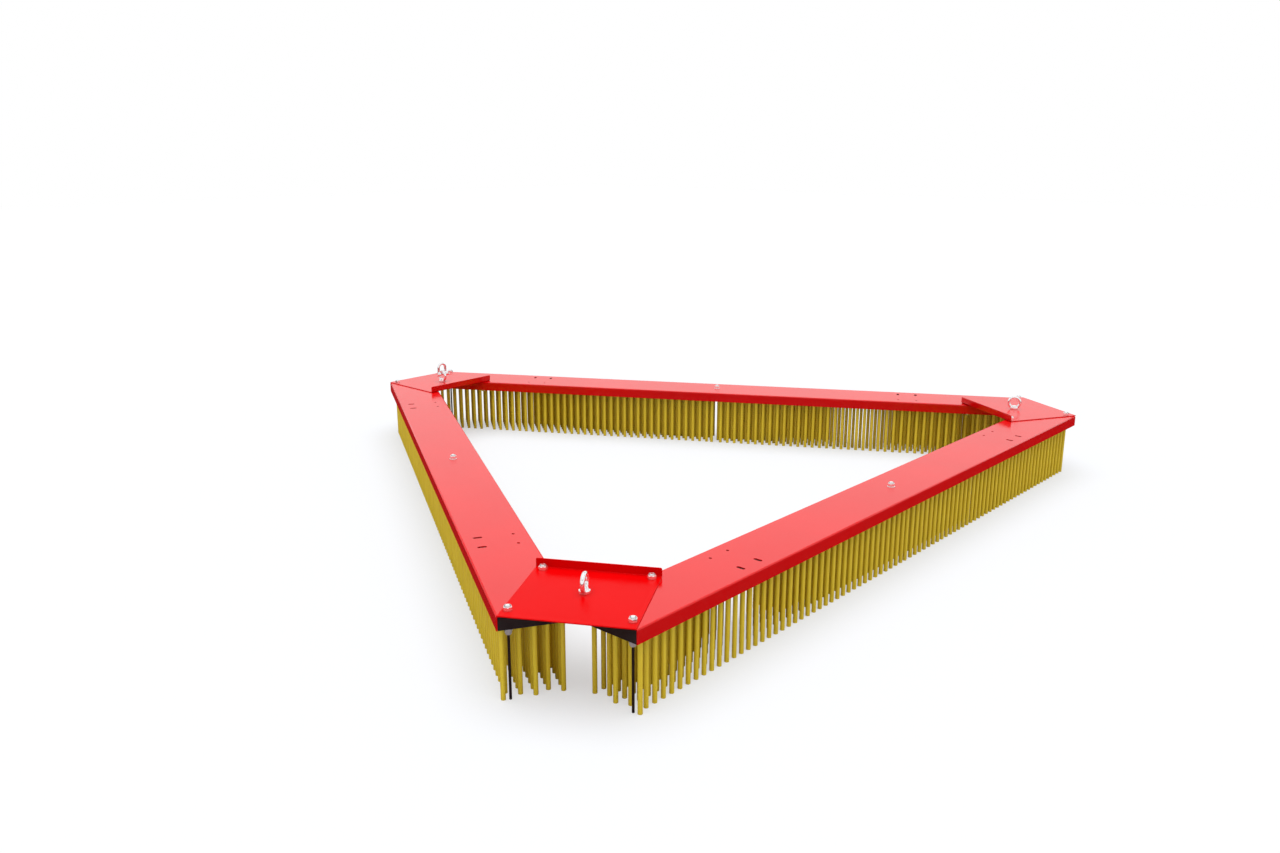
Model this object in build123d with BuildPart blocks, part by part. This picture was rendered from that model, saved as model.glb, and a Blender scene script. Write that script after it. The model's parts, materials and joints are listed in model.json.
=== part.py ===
# Triangular drag brush for working sand or crumb into turf.
# Three steel channel beams, each packed with two brush boards, are tied at the
# corners by flanged plates that carry lifting eyes. A shackle hangs in the eye
# of the towing corner.
# Millimetres. The origin lies on the ground under the middle of the outline,
# +Z points up and the towing corner points to -Y.
import os
from math import cos, dist, radians, sin, tan

from build123d import *

# Frame
beam_length = 1720.0
corner_gap = 6.0  # from a beam's inner end corner to where the inner faces would meet
stand_height = 150.0  # from the ground to the top of the beams
beam_width = 124.0
beam_height = 25.0
beam_sheet = 2.0
beam_bend = 0.8  # inside radius of the folds

# Adjusting slots and small holes near both ends of a beam
slot_width = 7.0
slot_length = 17.5
slot_end_inset = 294.0
slot_side_inset = 30.0
slot_pitch = 49.0
small_hole_diameter = 6.0
small_hole_side_inset = 96.0

# Brush boards
board_gap = 3.0
board_side_clearance = 0.5
board_chamfer = 2.0
board_base = 3.0  # the lowest slice of a board, which holds the bristles

# Bristles
strand_diameter = 7.5
strand_sides = 3
strand_count = 11  # in a full row of one board
strand_root = 1.0
strand_mid_inset = 12.0
strand_end_inset = 38.0
row_pitch = 22.7
rows_each_side = 2
bolt_clearance = 4.5  # least distance from a strand to a nut

# Corner plates
plate_width = 218.0
plate_depth = 203.0
plate_overhang = 2.0
plate_sheet = 2.0
plate_bend = 2.0
upstand_height = 17.5
upstand_corner = 3.0

# Bolts, washers and nuts
bolt_diameter = 8.0
bolt_hole = 9.0
bolt_head_flats = 13.0
bolt_head_height = 5.3
bolt_length = 36.0
stud_engagement = 9.0  # of an outer corner bolt in its domed nut
washer_diameter = 16.0
washer_thickness = 1.6
nut_height = 6.5
lock_nut_height = 8.0
thread_clearance = 0.05
shank_sides = 8  # round shanks and the bores around them are drawn with flats
outer_bolt_end_inset = 13.0  # from the beam's end
outer_bolt_edge_inset = 10.2  # from the plate's side edge
outer_bolt_side_inset = 20.0  # least distance from the beam's outer face
inner_bolt_side_inset = 15.0  # from the beam's inner face
inner_bolt_edge_inset = 12.0  # least distance from the plate's side edge and from its fold

# Domed nuts under the outer corner bolts, and the stop rods set in them
dome_diameter = 12.5
dome_chamfer = 2.6
rod_diameter = 4.6
rod_engagement = 4.6
rod_stop_gap = 0.5  # between a rod and the end of its bolt

# Eyes
eye_inset = 112.0  # from the plate's outer edge
eye_ring_diameter = 36.0
eye_wire = 8.0
wire_sides = 8  # flats that stand for a round wire
eye_collar_diameter = 20.0
eye_collar_height = 6.0
eye_shank_length = 13.0
eye_turns = {"left": -36.0, "tow": 0.0, "right": 0.0}  # from the line through the corner

# Shackle
shackle_wire = 7.0
shackle_spread = 24.0  # between the middles of the legs
shackle_reach = 31.5  # from the pin's axis to the middle of the crown
shackle_ear_diameter = 15.0
pin_diameter = 8.0
pin_seat_gap = 0.3  # between the pin and the top of the eye
pin_ear_clearance = 0.05
pin_end = 2.0
pin_collar_diameter = 13.0
pin_collar = 2.5
pin_tab_length = 14.0
pin_tab_width = 12.0
pin_tab_corner = 5.0
pin_tab_thickness = 4.0
pin_tab_hole = 5.0

# Places that follow from the sizes
third = 360 / 3  # turn from one side to the next
tilt = radians(90 - third / 2)  # between a beam and the line through its corner
inner_radius = (beam_length / 2 + corner_gap) * tan(tilt)
frame_radius = inner_radius + beam_width
beam_middle = inner_radius + beam_width / 2
corner_reach = frame_radius * sin(tilt) + beam_length / 2 * cos(tilt)
plate_reach = corner_reach + plate_overhang
plate_fold = plate_reach - plate_depth
centre_y = (plate_reach - frame_radius) / 2
board_bottom = -beam_height
mid_bolt = (0.0, beam_middle)
hexagon = bolt_head_flats / 2 / cos(radians(30))
eye_reach = plate_reach - eye_inset
eye_radius = (eye_ring_diameter - eye_wire) / 2
eye_centre = plate_sheet + eye_ring_diameter / 2
pin_height = eye_centre + eye_radius - eye_wire / 2 - pin_diameter / 2 - pin_seat_gap

side_angles = {side: number * third for number, side in enumerate(("rear", "left", "right"))}
corner_angles = {corner: (number + 0.5) * third for number, corner in enumerate(("left", "tow", "right"))}
half_signs = {"a": 1, "b": -1}


def level(angle, height=0.0):
    """Plane at a height over the beams' top, with Y outwards through one side or corner."""
    return Plane((0, centre_y, stand_height + height)).rotated((0, 0, angle))


def upright(plane, out=0.0):
    """Plane that looks along a level plane's X, with X outwards and Y up."""
    origin = plane.from_local_coords(Vector(0, out, 0))
    return Plane(origin, x_dir=plane.y_dir, z_dir=plane.x_dir)


# A beam's points are (along, out) and its corner's are (sideways, out). An outer bolt sits near
# the beam's end and the plate's side edge, and an inner one near the beam's inner face, clear of
# the plate's side edge and of its fold.
outer_along = beam_length / 2 - outer_bolt_end_inset
outer_sideways = plate_width / 2 - outer_bolt_edge_inset
out_at_edge = (outer_sideways + outer_along * sin(tilt)) / cos(tilt)
outer_bolt = (outer_along, min(out_at_edge, frame_radius - outer_bolt_side_inset))
inner_out = inner_radius + inner_bolt_side_inset
along_at_edge = (inner_out * cos(tilt) - plate_width / 2 + inner_bolt_edge_inset) / sin(tilt)
along_at_fold = (plate_fold + inner_bolt_edge_inset - inner_out * sin(tilt)) / cos(tilt)
inner_bolt = (max(along_at_edge, along_at_fold), inner_out)


def at_corner(point):
    """A beam's point as its corner's."""
    along, out = point
    return (out * cos(tilt) - along * sin(tilt), out * sin(tilt) + along * cos(tilt))


def both_sides(point):
    """A point and its mirror image across the Y axis."""
    return [(point[0], point[1]), (-point[0], point[1])]


outer_corner_bolts = both_sides(at_corner(outer_bolt))
inner_corner_bolts = both_sides(at_corner(inner_bolt))
corner_bolts = outer_corner_bolts + inner_corner_bolts


def save(part, name):
    """Write one named piece."""
    part.label = name
    export_step(part, f"parts/{name}.step")


os.makedirs("parts", exist_ok=True)

# Channel beams, folded from one strip, flanges down
for side, angle in side_angles.items():
    top = level(angle)
    with BuildPart() as beam:
        with BuildSketch(upright(top)):
            with BuildLine():
                FilletPolyline(
                    (inner_radius, -beam_height),
                    (inner_radius, 0),
                    (frame_radius, 0),
                    (frame_radius, -beam_height),
                    radius=beam_bend + beam_sheet,
                )
                offset(amount=beam_sheet, side=Side.RIGHT)
            make_face()
        extrude(amount=beam_length / 2, both=True)
        with BuildSketch(top):
            with Locations(mid_bolt, *both_sides(outer_bolt), *both_sides(inner_bolt)):
                RegularPolygon(bolt_hole / 2, shank_sides)
            for step in (0, slot_pitch):
                place = beam_length / 2 - slot_end_inset - step
                with Locations(*both_sides((place, frame_radius - slot_side_inset))):
                    SlotOverall(slot_length, slot_width, rotation=90)
                with Locations(*both_sides((place, frame_radius - small_hole_side_inset))):
                    Circle(small_hole_diameter / 2)
        extrude(amount=-beam_sheet, mode=Mode.SUBTRACT)
    save(beam.part, f"beam_{side}")

# Brush boards: the drilled body of each half and, under it, the slice with the bristles
board_length = (beam_length - board_gap) / 2
board_width = beam_width - 2 * (beam_sheet + board_side_clearance)
full_row = board_length - strand_mid_inset - strand_end_inset
strand_pitch = full_row / (strand_count - 1)
bolt_reach = hexagon + bolt_clearance + strand_diameter / 2


def clear_of_bolts(point):
    """Whether a strand leaves room for the nuts under the board."""
    return min(dist(point, bolt) for bolt in (outer_bolt, inner_bolt, mid_bolt)) > bolt_reach


strands = []
for row in range(-rows_each_side, rows_each_side + 1):
    staggered = row % 2
    for number in range(strand_count - staggered):
        along = board_gap / 2 + strand_mid_inset + (number + staggered / 2) * strand_pitch
        strands.append((along, beam_middle + row * row_pitch))
strands = [point for point in strands if clear_of_bolts(point)]

with BuildSketch() as board_outline:
    with Locations((board_gap / 2 + board_length / 2, beam_middle)):
        Rectangle(board_length, board_width)
    with Locations(outer_bolt, inner_bolt, mid_bolt):
        RegularPolygon(bolt_hole / 2, shank_sides, mode=Mode.SUBTRACT)

for side, angle in side_angles.items():
    for half, sign in half_signs.items():
        outline = board_outline.sketch if sign > 0 else mirror(board_outline.sketch, about=Plane.YZ)
        with BuildPart() as board:
            with BuildSketch(level(angle, board_bottom + board_base)) as base:
                add(outline)
            extrude(amount=beam_height - beam_sheet - board_base)
            top_edges = board.faces().sort_by(Axis.Z)[-1].outer_wire().edges()
            long_edges = top_edges.filter_by(GeomType.LINE).filter_by(Axis((0, 0, 0), base.workplanes[0].x_dir))
            chamfer(long_edges, board_chamfer)
        save(board.part, f"board_{side}_{half}")

        with BuildPart() as bristles:
            with BuildSketch(level(angle, board_bottom)):
                add(outline)
            extrude(amount=board_base)
            with BuildSketch(level(angle, -stand_height)):
                with Locations(*[(sign * along, out) for along, out in strands]):
                    RegularPolygon(strand_diameter / 2, strand_sides)
            extrude(amount=stand_height - beam_height + strand_root)
        save(bristles.part, f"bristles_{side}_{half}")

# Corner plates, flat on two beams, with the inner edge folded up
for corner, angle in corner_angles.items():
    top = level(angle)
    with BuildPart() as plate:
        with BuildSketch(upright(top)):
            with BuildLine():
                FilletPolyline(
                    (plate_reach, 0),
                    (plate_fold, 0),
                    (plate_fold, upstand_height),
                    radius=plate_bend + plate_sheet,
                )
                offset(amount=plate_sheet, side=Side.RIGHT)
            make_face()
        extrude(amount=plate_width / 2, both=True)
        upstand_ends = plate.edges().filter_by(Axis((0, 0, 0), top.y_dir)).group_by(Axis.Z)[-1]
        fillet(upstand_ends, upstand_corner)
        with BuildSketch(top):
            with Locations((0, eye_reach), *corner_bolts):
                RegularPolygon(bolt_hole / 2, shank_sides)
        extrude(amount=plate_sheet, mode=Mode.SUBTRACT)
    save(plate.part, f"corner_plate_{corner}")

# Lifting eyes: a ring on a collar, with a threaded shank below
with BuildPart() as eyebolts:
    for corner, angle in corner_angles.items():
        seat = level(angle, plate_sheet)
        with BuildSketch(seat):
            with Locations((0, eye_reach)):
                Circle(eye_collar_diameter / 2)
        extrude(amount=eye_collar_height)
        ring_middle = seat.from_local_coords(Vector(0, eye_reach, eye_ring_diameter / 2))
        along_ring = seat.y_dir.rotate(Axis.Z, eye_turns[corner])
        ring_axis = Axis(ring_middle, along_ring.cross(Vector(0, 0, 1)))
        with BuildSketch(Plane(ring_middle, x_dir=(0, 0, 1), z_dir=along_ring)):
            with Locations((eye_radius, 0)):
                RegularPolygon(eye_wire / 2, wire_sides)
        revolve(axis=ring_axis)
        with BuildSketch(seat):
            with Locations((0, eye_reach)):
                RegularPolygon(bolt_diameter / 2, shank_sides)
        extrude(amount=-eye_shank_length)
save(eyebolts.part, "eyebolts")


def rings(points, outside):
    """Hexagons or circles of one size over a set of points, bored for the bolt."""
    with BuildSketch() as faces:
        with Locations(*points):
            if outside == "hexagon":
                RegularPolygon(hexagon, 6)
            else:
                Circle(outside / 2)
            RegularPolygon(bolt_diameter / 2 + thread_clearance, shank_sides, mode=Mode.SUBTRACT)
    return faces.sketch


# Corner bolts with lock nuts on the plate. Under the boards the inner bolts have their heads,
# and the outer ones, which are headless, end in domed nuts with the stop rods.
stud_end = board_bottom - stud_engagement
rod_top = stud_end - rod_stop_gap
dome_bottom = rod_top - rod_engagement
for corner, angle in corner_angles.items():
    under = level(angle, board_bottom)
    dome_top = level(angle, board_bottom - nut_height)
    with BuildPart() as bolts:
        with BuildSketch(under):
            with Locations(*inner_corner_bolts):
                RegularPolygon(hexagon, 6)
        extrude(amount=-bolt_head_height)
        with BuildSketch(under):
            with Locations(*inner_corner_bolts):
                RegularPolygon(bolt_diameter / 2, shank_sides)
        extrude(amount=bolt_length)
        with BuildSketch(level(angle, stud_end)):
            with Locations(*outer_corner_bolts):
                RegularPolygon(bolt_diameter / 2, shank_sides)
        extrude(amount=stud_engagement + bolt_length)
    save(bolts.part, f"corner_bolts_{corner}")

    with BuildPart() as nuts:
        with BuildSketch(level(angle, plate_sheet)):
            add(rings(corner_bolts, "hexagon"))
        extrude(amount=lock_nut_height)
    save(nuts.part, f"corner_nuts_{corner}")

    with BuildPart() as domes:
        with BuildSketch(under):
            with Locations(*outer_corner_bolts):
                RegularPolygon(hexagon, 6)
        extrude(amount=-nut_height)
        with BuildSketch(dome_top):
            with Locations(*outer_corner_bolts):
                RegularPolygon(dome_diameter / 2, shank_sides)
        extrude(amount=dome_bottom - board_bottom + nut_height)
        chamfer(domes.edges().group_by(Axis.Z)[0], dome_chamfer)
        with BuildSketch(under):
            with Locations(*outer_corner_bolts):
                RegularPolygon(bolt_diameter / 2 + thread_clearance, shank_sides)
        extrude(amount=-stud_engagement, mode=Mode.SUBTRACT)
        with BuildSketch(level(angle, dome_bottom)):
            with Locations(*outer_corner_bolts):
                RegularPolygon(rod_diameter / 2 + thread_clearance, shank_sides)
        extrude(amount=rod_engagement, mode=Mode.SUBTRACT)
    save(domes.part, f"dome_nuts_{corner}")

    with BuildPart() as rods:
        with BuildSketch(level(angle, -stand_height)):
            with Locations(*outer_corner_bolts):
                RegularPolygon(rod_diameter / 2, shank_sides)
        extrude(amount=stand_height + rod_top)
    save(rods.part, f"stop_rods_{corner}")

# Middle bolts, heads up against the meeting boards and nuts on the beams
with BuildPart() as mid_bolts:
    for angle in side_angles.values():
        with BuildSketch(level(angle, board_bottom)):
            with Locations(mid_bolt):
                RegularPolygon(hexagon, 6)
        extrude(amount=-bolt_head_height)
        with BuildSketch(level(angle, board_bottom)):
            with Locations(mid_bolt):
                RegularPolygon(bolt_diameter / 2, shank_sides)
        extrude(amount=bolt_length)
save(mid_bolts.part, "mid_bolts")

with BuildPart() as mid_washers:
    for angle in side_angles.values():
        with BuildSketch(level(angle, washer_thickness)):
            add(rings([mid_bolt], washer_diameter))
        extrude(amount=-washer_thickness)
save(mid_washers.part, "mid_washers")

with BuildPart() as mid_nuts:
    for angle in side_angles.values():
        with BuildSketch(level(angle, washer_thickness)):
            add(rings([mid_bolt], "hexagon"))
        extrude(amount=lock_nut_height)
save(mid_nuts.part, "mid_nuts")

# Nuts that hold the eyes from below the plates
with BuildPart() as eye_nuts:
    for angle in corner_angles.values():
        with BuildSketch(level(angle)):
            add(rings([(0, eye_reach)], "hexagon"))
        extrude(amount=-nut_height)
save(eye_nuts.part, "eye_nuts")

# Shackle in the towing eye: a bent bow with an ear on each leg, and its pin
tow = level(corner_angles["tow"])
pin_middle = tow.from_local_coords(Vector(0, eye_reach, pin_height))
bow_plane = Plane(pin_middle, x_dir=tow.x_dir, z_dir=-tow.y_dir)
leg = shackle_spread / 2
leg_height = shackle_reach - leg
with BuildPart() as bow:
    for middle in (-leg, leg):
        leg_foot = bow_plane.from_local_coords(Vector(middle, 0, 0))
        with BuildSketch(Plane(leg_foot, x_dir=bow_plane.x_dir, z_dir=bow_plane.y_dir)):
            RegularPolygon(shackle_wire / 2, wire_sides, rotation=180 / wire_sides)
        extrude(amount=leg_height)
        with BuildSketch(Plane(leg_foot, z_dir=bow_plane.x_dir)):
            RegularPolygon(shackle_ear_diameter / 2, shank_sides)
        extrude(amount=shackle_wire / 2, both=True)
    leg_top = bow_plane.from_local_coords(Vector(leg, leg_height, 0))
    with BuildSketch(Plane(leg_top, x_dir=bow_plane.x_dir, z_dir=bow_plane.y_dir)):
        RegularPolygon(shackle_wire / 2, wire_sides, rotation=180 / wire_sides)
    crown_middle = bow_plane.from_local_coords(Vector(0, leg_height, 0))
    revolve(axis=Axis(crown_middle, bow_plane.z_dir), revolution_arc=180)
    pin_bore = Plane(pin_middle, z_dir=bow_plane.x_dir)
    with BuildSketch(pin_bore):
        RegularPolygon(pin_diameter / 2 + pin_ear_clearance, shank_sides)
    extrude(amount=leg + shackle_wire, both=True, mode=Mode.SUBTRACT)
save(bow.part, "shackle_bow")

ear_face = leg + shackle_wire / 2
with BuildPart() as pin:
    with BuildSketch(Plane(pin_middle, z_dir=bow_plane.x_dir).offset(-ear_face - pin_end)):
        RegularPolygon(pin_diameter / 2, shank_sides)
    extrude(amount=2 * ear_face + pin_end)
    with BuildSketch(Plane(pin_middle, z_dir=bow_plane.x_dir).offset(ear_face)):
        Circle(pin_collar_diameter / 2)
    extrude(amount=pin_collar)
    with BuildSketch(bow_plane) as tab:
        with Locations((ear_face + pin_collar + pin_tab_length / 2, 0)):
            RectangleRounded(pin_tab_length, pin_tab_width, pin_tab_corner)
        with Locations((ear_face + pin_collar + pin_tab_length / 2, 0)):
            Circle(pin_tab_hole / 2, mode=Mode.SUBTRACT)
    extrude(amount=pin_tab_thickness / 2, both=True)
save(pin.part, "shackle_pin")
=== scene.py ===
# Looks of a triangular drag brush: three red channel beams with brush boards and tufts,
# flanged corner plates with lifting eyes, and a shackle in the towing eye. Metres.
import json
from math import atan2, cos, dist, pi, radians, sin, tan

import bmesh
import bpy
from mathutils import Matrix, Vector


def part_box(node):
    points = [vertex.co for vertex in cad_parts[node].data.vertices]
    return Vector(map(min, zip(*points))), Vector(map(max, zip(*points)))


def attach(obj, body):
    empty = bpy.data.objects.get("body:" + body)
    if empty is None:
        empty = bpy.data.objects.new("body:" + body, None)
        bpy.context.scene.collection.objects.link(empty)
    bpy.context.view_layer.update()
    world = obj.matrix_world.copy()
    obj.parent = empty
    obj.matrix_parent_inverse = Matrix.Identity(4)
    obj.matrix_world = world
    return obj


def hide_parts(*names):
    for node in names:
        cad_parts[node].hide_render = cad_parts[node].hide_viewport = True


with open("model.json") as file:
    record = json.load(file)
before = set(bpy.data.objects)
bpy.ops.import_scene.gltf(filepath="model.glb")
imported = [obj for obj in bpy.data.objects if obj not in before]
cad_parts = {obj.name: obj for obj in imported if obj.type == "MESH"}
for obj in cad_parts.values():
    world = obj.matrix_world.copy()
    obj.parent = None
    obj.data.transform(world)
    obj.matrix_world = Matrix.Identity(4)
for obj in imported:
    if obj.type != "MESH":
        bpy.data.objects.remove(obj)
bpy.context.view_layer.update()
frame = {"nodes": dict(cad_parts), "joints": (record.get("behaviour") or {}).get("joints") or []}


# Channel beams
# Each is folded from one steel strip with its flanges down, punched, and powder coated in a
# full gloss red whose skin has a faint orange peel. Cut edges are broken by half a millimetre.
paint_red = (0.67, 0.0008, 0.0016, 1)
paint_deep_red = (0.62, 0.0006, 0.0012, 1)
edge_break = 0.0005
weld_reach = 0.00001  # vertices of a CAD piece nearer than this are one
flat_angle = radians(0.5)  # faces that meet at less than this are one
steep_angle = radians(40)  # edges steeper than this are broken
sides = ("rear", "left", "right")


def finish(name, **settings):
    """A new material, and its Principled shader with these constants."""
    made = bpy.data.materials.new(name)
    made.use_nodes = True
    shader = made.node_tree.nodes["Principled BSDF"]
    for label, value in settings.items():
        shader.inputs[label.replace("_", " ")].default_value = value
    return made, shader


def noise_of(shader, scale, stretch):
    """A noise on Object coordinates, in the shader's own tree."""
    tree = shader.id_data
    place = tree.nodes.new("ShaderNodeTexCoord")
    mapping = tree.nodes.new("ShaderNodeMapping")
    mapping.inputs["Scale"].default_value = stretch
    noise = tree.nodes.new("ShaderNodeTexNoise")
    noise.inputs["Scale"].default_value = scale
    tree.links.new(place.outputs["Object"], mapping.inputs["Vector"])
    tree.links.new(mapping.outputs["Vector"], noise.inputs["Vector"])
    return noise.outputs["Fac"]


def cloudy(shader, socket, scale, low, high, stretch=(1, 1, 1)):
    """Drives a colour or a value by noise, between two colours or two values."""
    ramp = shader.id_data.nodes.new("ShaderNodeValToRGB")
    for stop, place, tone in zip(ramp.color_ramp.elements, (0.3, 0.7), (low, high)):
        stop.position = place
        stop.color = tone if isinstance(tone, tuple) else (tone, tone, tone, 1)
    shader.id_data.links.new(noise_of(shader, scale, stretch), ramp.inputs["Fac"])
    shader.id_data.links.new(ramp.outputs["Color"], shader.inputs[socket])


def grainy(shader, scale, depth, strength, stretch=(1, 1, 1)):
    """Adds a fine relief of noise, its depth in metres."""
    relief = shader.id_data.nodes.new("ShaderNodeBump")
    relief.inputs["Distance"].default_value = depth
    relief.inputs["Strength"].default_value = strength
    shader.id_data.links.new(noise_of(shader, scale, stretch), relief.inputs["Height"])
    shader.id_data.links.new(relief.outputs["Normal"], shader.inputs["Normal"])


def red_paint(name, gloss, smoothest):
    """Red powder coat with its own level of gloss and its own roughness."""
    coat, shader = finish(name, IOR=1.5)
    shader.inputs["Specular IOR Level"].default_value = gloss
    cloudy(shader, "Base Color", 5.0, paint_deep_red, paint_red)
    cloudy(shader, "Roughness", 40.0, smoothest, smoothest + 0.05)
    grainy(shader, 420.0, 0.00012, 0.12)
    return coat


def dress(node, coat):
    """Gives a CAD piece its coat and breaks its sharp edges."""
    piece = frame["nodes"][node]
    piece.data.materials.clear()
    piece.data.materials.append(coat)
    weld = piece.modifiers.new("weld", "WELD")
    weld.merge_threshold = weld_reach
    flat = piece.modifiers.new("flat", "DECIMATE")
    flat.decimate_type = "DISSOLVE"
    flat.angle_limit = flat_angle
    bevel = piece.modifiers.new("edge", "BEVEL")
    bevel.width = edge_break
    bevel.segments = 2
    bevel.limit_method = "ANGLE"
    bevel.angle_limit = steep_angle
    bevel.harden_normals = True


gloss_red = red_paint("gloss_red", 0.5, 0.15)
for side in sides:
    dress(f"beam_{side}", gloss_red)


# Brush boards
# Two boards of black plastic fill each channel and meet at the middle bolt. They are sawn to
# length and drilled from below for the tufts, with their long upper edges planed to clear the
# folds.
halves = {"a": 1, "b": -1}
board_edge_break = 0.0006

black_plastic, shader = finish("black_plastic")
shader.inputs["Specular IOR Level"].default_value = 0.35
cloudy(shader, "Base Color", 60.0, (0.0085, 0.0085, 0.0090, 1), (0.0150, 0.0150, 0.0155, 1))
cloudy(shader, "Roughness", 150.0, 0.46, 0.62)
grainy(shader, 700.0, 0.00015, 0.35, (1, 1, 0.15))


def as_object(name, source):
    """A mesh, a curve, or a bmesh that is used up, as a new object in the scene."""
    if isinstance(source, bmesh.types.BMesh):
        mesh = bpy.data.meshes.new(name)
        source.to_mesh(mesh)
        source.free()
        source = mesh
    made = bpy.data.objects.new(name, source)
    bpy.context.scene.collection.objects.link(made)
    return made


def settle(piece):
    """The piece with its modifiers, or its curve, turned into a plain mesh of the same name."""
    bpy.context.view_layer.update()
    mesh = bpy.data.meshes.new_from_object(piece.evaluated_get(bpy.context.evaluated_depsgraph_get()))
    name = piece.name
    bpy.data.objects.remove(piece)
    return as_object(name, mesh)


def belongs(piece, node, body="root"):
    """The piece rides on its body, and the CAD node it stands for is hidden."""
    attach(piece, body)
    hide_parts(node)


for side in sides:
    for half in halves:
        node = f"board_{side}_{half}"
        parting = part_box(node)[0].z
        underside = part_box("dome_nuts_tow")[1].z
        work = bmesh.new()
        work.from_mesh(frame["nodes"][node].data)
        bmesh.ops.remove_doubles(work, verts=work.verts, dist=weld_reach)
        for point in work.verts:
            if point.co.z < parting + 0.0001:
                point.co.z = underside
        bmesh.ops.dissolve_limit(work, angle_limit=flat_angle, verts=work.verts, edges=work.edges)
        board = as_object(f"brush_{node}", work)
        bevel = board.modifiers.new("edge", "BEVEL")
        bevel.width = board_edge_break
        bevel.segments = 2
        bevel.angle_limit = steep_angle
        board = settle(board)
        board.data.materials.clear()
        board.data.materials.append(black_plastic)
        belongs(board, node)


# Tufts
# Bundles of stiff straight plastic filament, drawn into the drilled holes of the boards in five
# rows, every second row shifted by half a pitch, and trimmed level where they meet the ground.
# The boards are sawn from longer ones, so each beam's rows start at a place of their own.
tuft_diameter = 0.0083
tuft_pitch = 0.02045
tuft_root = 0.001  # how far a tuft reaches into its board
row_pitch = 0.0227
row_shifts = {"rear": 0.0042, "left": -0.0018, "right": -0.0061}
outermost_row = 2
seam_end = 0.0055  # from a board's end at the seam to the nearest tuft's axis
far_end = 0.0080  # the same at the board's other end
seam_room = 0.0025  # nearer the seam than this, the outermost row has no tuft
nut_room = 0.0114  # from a bolt's axis to the nearest tuft's
filaments = 9
flute = 0.96
tuft_lean = radians(0.04)
tuft_trim = 0.002  # share of its length that the shortest tuft lacks
side_angles = {"rear": 0, "left": 120, "right": 240}
corners = ("tow", "right", "left")

tan_filament, shader = finish("tan_filament", Roughness=0.42)
shader.inputs["Specular IOR Level"].default_value = 0.3
cloudy(shader, "Base Color", 900.0, (0.72, 0.51, 0.026, 1), (0.84, 0.64, 0.038, 1), (1, 1, 0.012))
grainy(shader, 1500.0, 0.0002, 0.3, (1, 1, 0.01))


class Tree:
    """A geometry node tree with named inputs, built node by node."""

    def __init__(self, name, **inputs):
        self.group = bpy.data.node_groups.new(name, "GeometryNodeTree")
        face = self.group.interface
        for label, kind in {"Geometry": "Geometry", **inputs, "Material": "Material"}.items():
            face.new_socket(label, in_out="INPUT", socket_type=f"NodeSocket{kind}")
        face.new_socket("Geometry", in_out="OUTPUT", socket_type="NodeSocketGeometry")
        self.given = self.group.nodes.new("NodeGroupInput").outputs

    def add(self, kind, *feeds, output=0, **settings):
        """Adds a node, feeds its visible sockets in order, and returns one of its outputs."""
        node = self.group.nodes.new(kind)
        for label, value in settings.items():
            setattr(node, label, value)
        for socket, feed in zip([socket for socket in node.inputs if socket.enabled], feeds):
            if isinstance(feed, bpy.types.NodeSocket):
                self.group.links.new(feed, socket)
            elif feed is not None:
                socket.default_value = feed
        return [socket for socket in node.outputs if socket.enabled][output]

    def close(self, geometry):
        """Ends the tree in Realize Instances and Set Material."""
        real = self.add("GeometryNodeRealizeInstances", geometry)
        coated = self.add("GeometryNodeSetMaterial", real, None, self.given["Material"])
        end = self.group.nodes.new("NodeGroupOutput")
        self.group.links.new(coated, end.inputs[0])

    def grow(self, name, points, **values):
        """The plain mesh object that the tree makes on these points."""
        seeds = bpy.data.meshes.new(name)
        seeds.from_pydata([tuple(point) for point in points], [], [])
        carrier = as_object(name, seeds)
        maker = carrier.modifiers.new("make", "NODES")
        maker.node_group = self.group
        sockets = self.group.interface.items_tree
        keys = {socket.name: socket.identifier for socket in sockets if socket.in_out == "INPUT"}
        for label, value in values.items():
            maker[keys[label]] = value
        return settle(carrier)


tree = Tree("tufts", Diameter="Float", Length="Float", Filaments="Int", Flute="Float", Lean="Float",
            Trim="Float", Seed="Int")
given = tree.given
radius = tree.add("ShaderNodeMath", given["Diameter"], 0.5, operation="MULTIPLY")
inner = tree.add("ShaderNodeMath", radius, given["Flute"], operation="MULTIPLY")
bundle = tree.add("GeometryNodeCurveStar", given["Filaments"], inner, radius)
down = tree.add("ShaderNodeMath", given["Length"], -1.0, operation="MULTIPLY")
tip = tree.add("ShaderNodeCombineXYZ", 0.0, 0.0, down)
spine = tree.add("GeometryNodeCurvePrimitiveLine", tip, (0, 0, 0))
tuft_body = tree.add("GeometryNodeCurveToMesh", spine, bundle)
tuft_body.node.inputs["Fill Caps"].default_value = True
other_way = tree.add("ShaderNodeMath", given["Lean"], -1.0, operation="MULTIPLY")
lean_from = tree.add("ShaderNodeCombineXYZ", other_way, other_way, 0.0)
lean_to = tree.add("ShaderNodeCombineXYZ", given["Lean"], given["Lean"], 2 * pi)
pose = tree.add("FunctionNodeRandomValue", lean_from, lean_to, None, given["Seed"], data_type="FLOAT_VECTOR")
kept = tree.add("ShaderNodeMath", 1.0, given["Trim"], operation="SUBTRACT")
shortest = tree.add("ShaderNodeCombineXYZ", 1.0, 1.0, kept)
size = tree.add("FunctionNodeRandomValue", shortest, (1, 1, 1), None, given["Seed"], data_type="FLOAT_VECTOR")
placed = tree.add("GeometryNodeInstanceOnPoints", given["Geometry"], None, tuft_body)
tree.group.links.new(pose, placed.node.inputs["Rotation"])
tree.group.links.new(size, placed.node.inputs["Scale"])
tree.close(placed)
tuft_tree = tree


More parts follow.
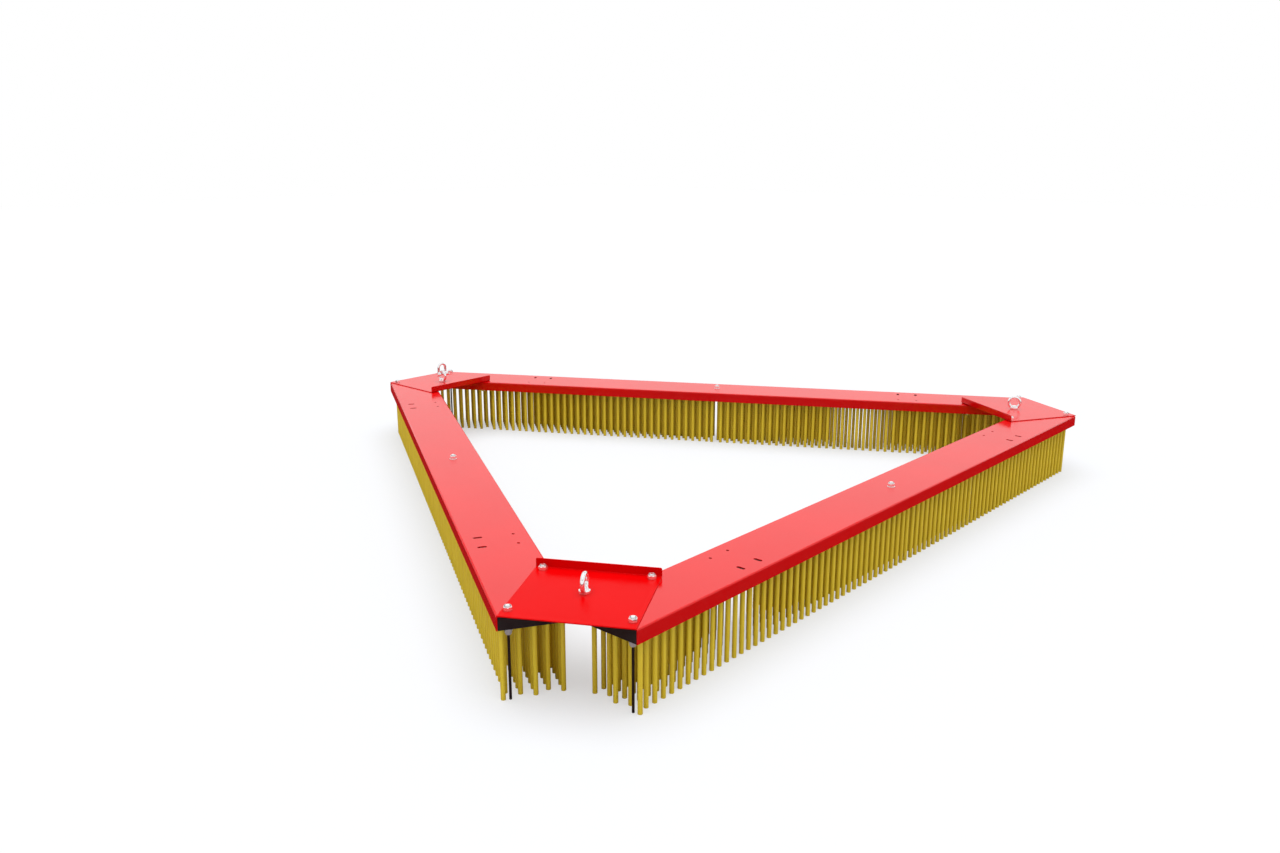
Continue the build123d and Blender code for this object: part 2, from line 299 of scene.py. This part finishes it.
def axes(node):
    """The axis of each upright solid of a CAD node, seen from above."""
    work = bmesh.new()
    work.from_mesh(frame["nodes"][node].data)
    bmesh.ops.remove_doubles(work, verts=work.verts, dist=weld_reach)
    unread = set(work.verts)
    found = []
    while unread:
        solid = [unread.pop()]
        for point in solid:
            joined = {edge.other_vert(point) for edge in point.link_edges} & unread
            unread -= joined
            solid += joined
        across = [point.co.x for point in solid]
        along = [point.co.y for point in solid]
        found.append(Vector(((min(across) + max(across)) / 2, (min(along) + max(along)) / 2)))
    work.free()
    return sorted(found, key=lambda axis: (round(axis.x, 4), round(axis.y, 4)))


middle_axes = axes("mid_bolts")
frame_centre = sum(middle_axes, Vector((0, 0))) / len(sides)
beam_middle = max(axis.y for axis in middle_axes) - frame_centre.y
bolt_axes = middle_axes + [axis for corner in corners for kind in ("corner", "dome")
                           for axis in axes(f"{kind}_nuts_{corner}")]
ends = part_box("board_rear_a")
for side in sides:
    turn = Matrix.Rotation(radians(side_angles[side]), 2)
    for half, sign in halves.items():
        node = f"bristles_{side}_{half}"
        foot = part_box(node)[0].z
        root = underside + tuft_root
        roots = []
        for row in range(-outermost_row, outermost_row + 1):
            start = sign * (row_shifts[side] + row % 2 * tuft_pitch / 2) % tuft_pitch
            for number in range(round(ends[1].x / tuft_pitch) + 1):
                along = max(start + number * tuft_pitch, ends[0].x + seam_end)
                across = beam_middle + row * row_pitch
                at_seam = row == outermost_row and start + number * tuft_pitch < seam_room
                if at_seam or along > ends[1].x - far_end:
                    continue
                bolts = [turn.inverted() @ (axis - frame_centre) for axis in bolt_axes]
                near = min(bolts, key=lambda axis: dist(axis, (sign * along, across)))
                aside = abs(near.x - sign * along)
                if dist(near, (sign * along, across)) < nut_room:
                    if row < outermost_row or along < seam_end * 2:
                        continue
                    across = near.y + (nut_room ** 2 - aside ** 2) ** 0.5
                point = frame_centre + turn @ Vector((sign * along, across))
                roots.append((point.x, point.y, root))
        tufts = tuft_tree.grow(f"tufts_{side}_{half}", roots, Diameter=tuft_diameter, Length=root - foot,
                               Filaments=filaments, Flute=flute, Lean=tuft_lean, Trim=tuft_trim,
                               Seed=len(roots) + sides.index(side), Material=tan_filament)
        belongs(tufts, node)


# Corner plates
# Flat plates tie two beams at each corner, their inner edge folded up as a stop. They carry the
# beams' red coat, and the one over the right corner has a duller coat.
dull_red = red_paint("dull_red", 0.03, 0.22)
for corner in corners:
    dress(f"corner_plate_{corner}", dull_red if corner == "right" else gloss_red)


# Corner bolts
# Zinc plated M8 bolts, four to a corner, come up through board, beam and plate. The inner ones
# have hexagon heads under the boards, forged with a dished face; the outer ones are headless.
flats = 0.013
head_height = 0.0053
washer_face = 0.0003
dish_radius = 0.0040
dish_depth = 0.00045
bolt_radius = 0.004
thread_pitch = 0.00125
thread_depth = 0.0006
thread_length = 0.014
tip_radius = 0.0031
turn_steps = 36
chamfer_angle = radians(30)
sharp_angle = radians(35)
seam_reach = 0.000001  # points of a turned piece nearer than this are one

bright_zinc, shader = finish("bright_zinc", Metallic=0.85)
cloudy(shader, "Base Color", 260.0, (0.92, 0.93, 0.94, 1), (0.98, 0.98, 0.99, 1))
cloudy(shader, "Roughness", 400.0, 0.08, 0.14)
grainy(shader, 900.0, 0.0001, 0.10)


def turned(profile, across=None, closed=False):
    """A piece turned about Z from (radius, height) points, cut to a hexagon where across is given."""
    work = bmesh.new()
    rings = []
    for radius, height in profile:
        ring = []
        for number in range(turn_steps if radius else 1):
            angle = 2 * pi * number / turn_steps
            reach = radius
            if across is not None:
                reach = min(radius, across / 2 / cos(angle % (pi / 3) - pi / 6))
            ring.append(work.verts.new((reach * cos(angle), reach * sin(angle), height)))
        rings.append(ring)
    for ring, following in zip(rings, rings[1:] + rings[:1] if closed else rings[1:]):
        for number in range(turn_steps):
            pair = (number, (number + 1) % turn_steps)
            face = [ring[at % len(ring)] for at in pair]
            face += [following[at % len(following)] for at in pair[::-1]]
            work.faces.new(dict.fromkeys(face))
    bmesh.ops.remove_doubles(work, verts=work.verts, dist=seam_reach)
    bmesh.ops.recalc_face_normals(work, faces=work.faces)
    return work


def crown(across, height, up):
    """Rings of the chamfer at a hexagon's end, from its corners inwards."""
    corner = across / 2 / cos(radians(30))
    flat_circle = 0.95 * across / 2
    radii = [corner + (flat_circle - corner) * step / 4 for step in range(5)]
    return [(radius, height - up * (radius - flat_circle) * tan(chamfer_angle)) for radius in radii]


def bolt(length, headed=True):
    """A bolt that stands on its head, or without one on its end, with its thread at the top."""
    turns = round(thread_length / thread_pitch)
    step = thread_length / turns / 2
    profile = [(0, 0), (bolt_radius, 0)]
    if headed:
        profile = [(0, dish_depth - head_height), (dish_radius - dish_depth, dish_depth - head_height),
                   (dish_radius, -head_height)] + crown(flats, -head_height, -1)[::-1]
        profile += [(flats, -washer_face), (flats * 0.475, -washer_face), (flats * 0.475, 0)]
        profile += [(bolt_radius, 0)]
    ridges = [(bolt_radius - number % 2 * thread_depth, length - thread_length + number * step)
              for number in range(2 * turns)]
    return turned(profile + ridges + [(tip_radius, length), (0, length)], flats)


def smooth(piece):
    """Smooth faces, with sharp edges where they meet steeply."""
    for face in piece.data.polygons:
        face.use_smooth = True
    piece.data.set_sharp_from_angle(angle=sharp_angle)
    return piece


tree = Tree("seated_fasteners", Fastener="Object", Turn="Float", Seed="Int")
given = tree.given
pattern = tree.add("GeometryNodeObjectInfo", given["Fastener"], output=4)
least = tree.add("ShaderNodeCombineXYZ")
most = tree.add("ShaderNodeCombineXYZ", 0.0, 0.0, given["Turn"])
spin = tree.add("FunctionNodeRandomValue", least, most, None, given["Seed"], data_type="FLOAT_VECTOR")
placed = tree.add("GeometryNodeInstanceOnPoints", given["Geometry"], None, pattern)
tree.group.links.new(spin, placed.node.inputs["Rotation"])
tree.close(placed)
seat_tree = tree


def fasten(name, pattern_mesh, seats, height, coat):
    """One fastener on each seat, each turned by chance."""
    pattern = smooth(as_object(f"{name}_pattern", pattern_mesh))
    points = [(seat.x, seat.y, height) for seat in seats]
    made = seat_tree.grow(name, points, Fastener=pattern, Turn=radians(60), Seed=len(name), Material=coat)
    bpy.data.objects.remove(pattern)
    return made


for corner in corners:
    node = f"corner_bolts_{corner}"
    low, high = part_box(node)
    outer = axes(f"dome_nuts_{corner}")
    inner = [axis for axis in axes(node) if min(dist(axis, other) for other in outer) > flats]
    headed = fasten(f"bolts_{corner}", bolt(high.z - underside), inner, underside, bright_zinc)
    headless = fasten(f"studs_{corner}", bolt(high.z - low.z, headed=False), outer, low.z, bright_zinc)
    work = bmesh.new()
    for part in (headed, headless):
        work.from_mesh(part.data)
        bpy.data.objects.remove(part)
    screws = smooth(as_object(f"screws_{corner}", work))
    screws.data.materials.append(bright_zinc)
    belongs(screws, node)


# Lock nuts on the plates
# Each bolt takes a lock nut, a chamfered hexagon whose collar is rolled over a dark nylon ring.
bore = 0.0040
lock_hexagon = 0.0066  # height of the lock nut's hexagon, under its collar
collar_radius = 0.0060
collar_rim = 0.0056
ring_seat = 0.0062
nylon_radius = 0.0052
nylon_bore = 0.0040
nylon_sunk = 0.0002  # below the collar's rim

nylon, shader = finish("nylon", Roughness=0.45)
cloudy(shader, "Base Color", 300.0, (0.020, 0.020, 0.022, 1), (0.035, 0.035, 0.038, 1))


def lock_nut(tall):
    """A lock nut's steel part and its ring."""
    steel = [(bore, 0)] + crown(flats, 0, -1)[::-1] + crown(flats, lock_hexagon, 1)
    for turn in (pi / 2 * step / 6 for step in range(7)):
        steel.append((collar_rim + (collar_radius - collar_rim) * cos(turn),
                      lock_hexagon + (tall - lock_hexagon) * sin(turn)))
    steel += [(nylon_radius, tall - nylon_sunk), (nylon_radius, ring_seat), (bore, ring_seat)]
    ring = [(nylon_bore, ring_seat), (nylon_radius, ring_seat), (nylon_radius, tall - nylon_sunk),
            (nylon_bore, tall - nylon_sunk)]
    return turned(steel, flats, closed=True), turned(ring, closed=True)


def lock(name, node):
    """Lock nuts in the place of a CAD node's."""
    low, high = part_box(node)
    steel, ring = lock_nut(high.z - low.z)
    belongs(fasten(name, steel, axes(node), low.z, bright_zinc), node)
    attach(fasten(f"{name}_rings", ring, axes(node), low.z, nylon), "root")


for corner in corners:
    lock(f"nuts_{corner}", f"corner_nuts_{corner}")


# Domed nuts and stop rods
# The outer bolts end under the boards in domed nuts, drilled below for the stop rods: black rods
# as long as the tufts, which keep the corners from digging in.
dome_hexagon = 0.0065  # height of the hexagon above the dome
dome_radius = 0.00625
rod_radius = 0.0023
rod_end_chamfer = 0.0004
dome_steps = 6

grey_zinc, shader = finish("grey_zinc", Metallic=0.3)
cloudy(shader, "Base Color", 300.0, (0.42, 0.43, 0.45, 1), (0.52, 0.53, 0.55, 1))
cloudy(shader, "Roughness", 300.0, 0.35, 0.5)

black_rod, shader = finish("black_rod")
shader.inputs["Specular IOR Level"].default_value = 0.4
cloudy(shader, "Base Color", 120.0, (0.006, 0.006, 0.006, 1), (0.012, 0.012, 0.013, 1))
cloudy(shader, "Roughness", 200.0, 0.35, 0.5)

for corner in corners:
    node = f"dome_nuts_{corner}"
    low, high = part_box(node)
    dome_height = high.z - dome_hexagon - low.z
    dome = [(0, 0)]
    for step in range(dome_steps):
        lift = pi / 2 * step / dome_steps
        dome.append((rod_radius + (dome_radius - rod_radius) * sin(lift), dome_height * (1 - cos(lift))))
    dome += [(dome_radius, dome_height)] + crown(flats, dome_height, -1)[::-1][1:]
    dome += crown(flats, high.z - low.z, 1) + [(0, high.z - low.z)]
    domes = fasten(f"domed_nuts_{corner}", turned(dome, flats), axes(node), low.z, grey_zinc)
    belongs(domes, node)

    node = f"stop_rods_{corner}"
    low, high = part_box(node)
    rod = [(0, 0), (rod_radius - rod_end_chamfer, 0), (rod_radius, rod_end_chamfer),
           (rod_radius, high.z - low.z), (0, high.z - low.z)]
    belongs(fasten(f"rods_{corner}", turned(rod), axes(node), low.z, black_rod), node)


# Middle fasteners
# A bolt comes up through each beam where its boards meet, and takes a washer and a lock nut.
washer_radius = 0.008
washer_round = 0.0003

node = "mid_bolts"
low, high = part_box(node)
belongs(fasten("middle_bolts", bolt(high.z - underside), axes(node), underside, bright_zinc), node)

node = "mid_washers"
low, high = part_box(node)
thick = high.z - low.z
washer = [(bore, 0), (washer_radius - washer_round, 0), (washer_radius, washer_round),
          (washer_radius, thick - washer_round), (washer_radius - washer_round, thick), (bore, thick)]
belongs(fasten("middle_washers", turned(washer, closed=True), axes(node), low.z, bright_zinc), node)
lock("middle_nuts", "mid_nuts")


# Lifting eyes
# Drop forged eyes, one to a corner: a ring that flows into a collar, and a threaded shank that
# a nut holds under the plate. The rings face along the line to the middle of the triangle, but
# the left one is turned.
ring_diameter = 0.036
ring_wire = 0.008
eye_turns = {"left": radians(-36), "tow": 0, "right": 0}  # from the line through the corner
collar_profile = [(0, 0), (0.010, 0), (0.010, 0.0050), (0.0094, 0.0058), (0.0082, 0.0062),
                  (0.0070, 0.0074), (0.0062, 0.0092), (0, 0.0092)]
forging_grain = 0.0005
melt_passes = 8

bright_forging, shader = finish("bright_forging", Metallic=0.85)
cloudy(shader, "Base Color", 200.0, (0.90, 0.91, 0.92, 1), (0.97, 0.97, 0.98, 1))
cloudy(shader, "Roughness", 300.0, 0.08, 0.15)
grainy(shader, 350.0, 0.0002, 0.08)


def swept(path, radius, across, closed=False, around=24):
    """A round wire along a flat path, across being the direction square to the path's plane."""
    work = bmesh.new()
    rings = []
    for number, point in enumerate(path):
        before = path[number - 1] if closed or number else point
        after = path[(number + 1) % len(path)] if closed or number < len(path) - 1 else point
        sideways = (after - before).normalized().cross(across)
        rings.append([work.verts.new(point + radius * (cos(turn) * sideways + sin(turn) * across))
                      for turn in (2 * pi * step / around for step in range(around))])
    for ring, following in zip(rings, rings[1:] + rings[:1] if closed else rings[1:]):
        for step in range(around):
            after = (step + 1) % around
            work.faces.new((ring[step], ring[after], following[after], following[step]))
    if not closed:
        work.faces.new(rings[0])
        work.faces.new(rings[-1])
    bmesh.ops.recalc_face_normals(work, faces=work.faces)
    return work


def take_in(work, other):
    """Adds another bmesh, which is used up, to this one."""
    loose = bpy.data.meshes.new("loose")
    other.to_mesh(loose)
    other.free()
    work.from_mesh(loose)
    bpy.data.meshes.remove(loose)


def forged(name, shells):
    """One skin over shells that overlap, with its joins smoothed as a forging's are."""
    for shell in shells[1:]:
        take_in(shells[0], shell)
    blank = as_object(name, shells[0])
    skin = blank.modifiers.new("skin", "REMESH")
    skin.mode = "VOXEL"
    skin.voxel_size = forging_grain
    melt = blank.modifiers.new("melt", "SMOOTH")
    melt.factor = 0.5
    melt.iterations = melt_passes
    return settle(blank)


ring_circle = (ring_diameter - ring_wire) / 2
ring_path = [Vector((ring_circle * sin(turn), 0, ring_diameter / 2 - ring_circle * cos(turn)))
             for turn in (2 * pi * step / 64 for step in range(64))]
skin = forged("eye_skin", [swept(ring_path, ring_wire / 2, Vector((0, 1, 0)), closed=True),
                           turned(collar_profile)])
plate_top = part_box("corner_nuts_tow")[0].z
eye_shank = plate_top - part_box("eyebolts")[0].z
eye = bolt(eye_shank, headed=False)
bmesh.ops.rotate(eye, verts=eye.verts, matrix=Matrix.Rotation(pi, 3, "X"))
eye.from_mesh(skin.data)
bpy.data.objects.remove(skin)
pattern = as_object("eye_pattern", eye)
work = bmesh.new()
for corner in corners:
    nuts = axes(f"corner_nuts_{corner}")
    middle = sum(nuts, Vector((0, 0))) / len(nuts)
    axis = min(axes("eye_nuts"), key=lambda place: dist(place, middle))
    outwards = axis - frame_centre
    copy = pattern.data.copy()
    copy.transform(Matrix.Translation((axis.x, axis.y, plate_top))
                   @ Matrix.Rotation(atan2(outwards.y, outwards.x) + eye_turns[corner], 4, "Z"))
    work.from_mesh(copy)
    bpy.data.meshes.remove(copy)
bpy.data.objects.remove(pattern)
eyes = smooth(as_object("lifting_eyes", work))
eyes.data.materials.append(bright_forging)
belongs(eyes, "eyebolts")

node = "eye_nuts"
low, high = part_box(node)
nut = [(bore, 0)] + crown(flats, 0, -1)[::-1] + crown(flats, high.z - low.z, 1) + [(bore, high.z - low.z)]
shank_nuts = fasten("eye_shank_nuts", turned(nut, flats, closed=True), axes(node), low.z, bright_zinc)
belongs(shank_nuts, node)


# Shackle
# A bow of bent bar with a flattened ear on each leg, and a screw pin with a collar and a drilled
# tab, closed through the towing eye. It swings about the pin.
bow_wire = 0.007
bow_half_spread = 0.012
ear_radius = 0.0075
ear_round = 0.0008
pin_radius = 0.004
pin_end = 0.002
pin_collar_radius = 0.0065
pin_collar = 0.0025
pin_break = 0.0003
tab_length = 0.014
tab_width = 0.012
tab_thickness = 0.004
tab_corner = 0.005
tab_hole = 0.0025
tab_round = 0.0007

pin_middle = Vector(frame["joints"][0]["pos_m"])
bow_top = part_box("shackle_bow")[1].z
leg_height = bow_top - pin_middle.z - bow_wire / 2 - bow_half_spread
bow_path = [Vector((-bow_half_spread, 0, leg_height * step / 8)) for step in range(8)]
bow_path += [Vector((-bow_half_spread * cos(turn), 0, leg_height + bow_half_spread * sin(turn)))
             for turn in (pi * step / 24 for step in range(25))]
bow_path += [Vector((bow_half_spread, 0, leg_height * step / 8)) for step in range(7, -1, -1)]
ear_face = bow_wire / 2
ear_profile = [(0, -ear_face), (ear_radius - ear_round, -ear_face), (ear_radius, ear_round - ear_face),
               (ear_radius, ear_face - ear_round), (ear_radius - ear_round, ear_face), (0, ear_face)]


def across_legs(work, middle=0.0, way=1):
    """Lays a turned piece along the pin."""
    bmesh.ops.rotate(work, verts=work.verts, matrix=Matrix.Rotation(way * pi / 2, 3, "Y"))
    bmesh.ops.translate(work, verts=work.verts, vec=(middle, 0, 0))
    return work


bow = forged("bow_of_shackle", [swept(bow_path, bow_wire / 2, Vector((0, 1, 0)))]
             + [across_legs(turned(ear_profile), middle) for middle in (-bow_half_spread, bow_half_spread)])
drill_reach = bow_half_spread + bow_wire
drill = turned([(0, -drill_reach), (pin_radius, -drill_reach), (pin_radius, drill_reach), (0, drill_reach)])
drill = as_object("drill", across_legs(drill))
cut = bow.modifiers.new("pin_bore", "BOOLEAN")
cut.operation = "DIFFERENCE"
cut.object = drill
bow = settle(bow)
bpy.data.objects.remove(drill)
bow.data.transform(Matrix.Translation(pin_middle))
smooth(bow)
bow.data.materials.clear()
bow.data.materials.append(bright_forging)
belongs(bow, "shackle_bow", "shackle")

pin_low, pin_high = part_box("shackle_pin")
tab_way = 1 if pin_high.x + pin_low.x > 0 else -1
ear_face += bow_half_spread
pin_tip = -ear_face - pin_end
collar_face = ear_face + pin_collar
pin_profile = [(0, pin_tip), (pin_radius - pin_break, pin_tip), (pin_radius, pin_tip + pin_break),
               (pin_radius, ear_face), (pin_collar_radius - pin_break, ear_face),
               (pin_collar_radius, ear_face + pin_break), (pin_collar_radius, collar_face - pin_break),
               (pin_collar_radius - pin_break, collar_face), (0, collar_face)]
outline = bpy.data.curves.new("tab", "CURVE")
outline.dimensions = "2D"
outline.fill_mode = "BOTH"
outline.extrude = tab_thickness / 2 - tab_round
outline.bevel_depth = tab_round
outline.bevel_resolution = 2
arc = tab_corner - tab_round
rim = []
for quarter, (right, up) in enumerate(((1, 1), (-1, 1), (-1, -1), (1, -1))):
    for turn in (pi / 2 * (quarter + step / 6) for step in range(7)):
        rim.append((right * (tab_length / 2 - tab_corner) + arc * cos(turn),
                    up * (tab_width / 2 - tab_corner) + arc * sin(turn)))
hole = [((tab_hole + tab_round) * cos(turn), (tab_hole + tab_round) * sin(turn))
        for turn in (2 * pi * step / 32 for step in range(32))]
for points in (rim, hole):
    spline = outline.splines.new("POLY")
    spline.points.add(len(points) - 1)
    for point, (right, up) in zip(spline.points, points):
        point.co = (right, up, 0, 1)
    spline.use_cyclic_u = True
tab = settle(as_object("tab", outline))
tab.data.transform(Matrix.Translation((tab_way * (collar_face + tab_length / 2), 0, 0))
                   @ Matrix.Rotation(pi / 2, 4, "X"))
work = across_legs(turned(pin_profile), way=tab_way)
work.from_mesh(tab.data)
bpy.data.objects.remove(tab)
bmesh.ops.remove_doubles(work, verts=work.verts, dist=seam_reach)
bmesh.ops.translate(work, verts=work.verts, vec=pin_middle)
pin = smooth(as_object("pin_of_shackle", work))
pin.data.materials.clear()
pin.data.materials.append(bright_forging)
belongs(pin, "shackle_pin", "shackle")


# Floor, light and camera
# A plain pale floor that keeps the soft shadow of the brush, an even sky, and a broad lamp
# overhead. Metal sees white walls and ceiling with a dark ledge between them. The floor shows
# red only in reflections, a painted red reflection on the paint and the metal.
floor_half = 14.0
floor_seen = (0.312, 0.322, 0.340, 1)
floor_glow = 0.535
floor_bounce = (0.56, 0.57, 0.58, 1)
# red that the pale floor shows only to glossy rays: a painted red reflection on paint and metal
painted_red_floor_reflection = (0.20, 0.012, 0.014, 1)
sky_level = 0.56
wall_level = 0.96
ledge_level = 0.20
ceiling_level = 1.0
wall_top = 0.57  # sine of the elevation up to which the walls are white
ledge_start = 0.60
ledge_end = 0.64
ceiling_start = 0.68
lamp_level = 2.95
lamp_angle = radians(70)
camera_place = Vector((1.9348, 1.8153, 0.8470))
camera_target = Vector((-0.0126, 0.0594, 0.150))
camera_lens = 30.035


def by_ray(tree, ray, otherwise, value, kind="FLOAT"):
    """A value or colour for one kind of ray, and another for the rest."""
    mix = tree.nodes.new("ShaderNodeMix")
    mix.data_type = kind
    tree.links.new(tree.nodes["Light Path"].outputs[ray], mix.inputs[0])
    ends = [socket for socket in mix.inputs if socket.enabled][1:]
    for socket, feed in zip(ends, (otherwise, value)):
        if isinstance(feed, bpy.types.NodeSocket):
            tree.links.new(feed, socket)
        else:
            socket.default_value = feed
    return next(socket for socket in mix.outputs if socket.enabled)


pale_floor, shader = finish("pale_floor", Roughness=0.9)
shader.inputs["Specular IOR Level"].default_value = 0.0
tree = pale_floor.node_tree
tree.nodes.new("ShaderNodeLightPath")
# glossy rays see the floor red, a painted red reflection
tone = by_ray(tree, "Is Glossy Ray", floor_bounce, painted_red_floor_reflection, "RGBA")
tone = by_ray(tree, "Is Camera Ray", tone, floor_seen, "RGBA")
tree.links.new(tone, shader.inputs["Base Color"])
shader.inputs["Emission Color"].default_value = (1, 1, 1, 1)
tree.links.new(by_ray(tree, "Is Camera Ray", 0.0, floor_glow), shader.inputs["Emission Strength"])
work = bmesh.new()
bmesh.ops.create_grid(work, x_segments=1, y_segments=1, size=floor_half)
floor = as_object("floor", work)
floor.data.materials.append(pale_floor)

world = bpy.data.worlds.new("surroundings")
bpy.context.scene.world = world
world.use_nodes = True
tree = world.node_tree
tree.nodes.new("ShaderNodeLightPath")
place = tree.nodes.new("ShaderNodeTexCoord")
direction = tree.nodes.new("ShaderNodeSeparateXYZ")
walls = tree.nodes.new("ShaderNodeValToRGB")
bands = walls.color_ramp.elements
bands[0].position = wall_top
bands[1].position = ceiling_start
bands.new(ledge_start)
bands.new(ledge_end)
for band, level in zip(bands, (wall_level, ledge_level, ledge_level, ceiling_level)):
    band.color = (level, level, level, 1)
tree.links.new(place.outputs["Generated"], direction.inputs[0])
tree.links.new(direction.outputs["Z"], walls.inputs["Fac"])
strength = by_ray(tree, "Is Camera Ray", by_ray(tree, "Is Glossy Ray", sky_level, walls.outputs[0]), 1.0)
tree.nodes["Background"].inputs["Color"].default_value = (1, 1, 1, 1)
tree.links.new(strength, tree.nodes["Background"].inputs["Strength"])

lamp = bpy.data.lights.new("overhead", "SUN")
lamp.energy = lamp_level
lamp.angle = lamp_angle
overhead = bpy.data.objects.new("overhead", lamp)
overhead.visible_glossy = False
bpy.context.scene.collection.objects.link(overhead)

lens = bpy.data.cameras.new("camera")
lens.lens = camera_lens
camera = bpy.data.objects.new("camera", lens)
camera.location = camera_place
camera.rotation_euler = (camera_target - camera_place).to_track_quat("-Z", "Y").to_euler()
bpy.context.scene.collection.objects.link(camera)
bpy.context.scene.camera = camera
bpy.context.scene.view_settings.view_transform = "Standard"
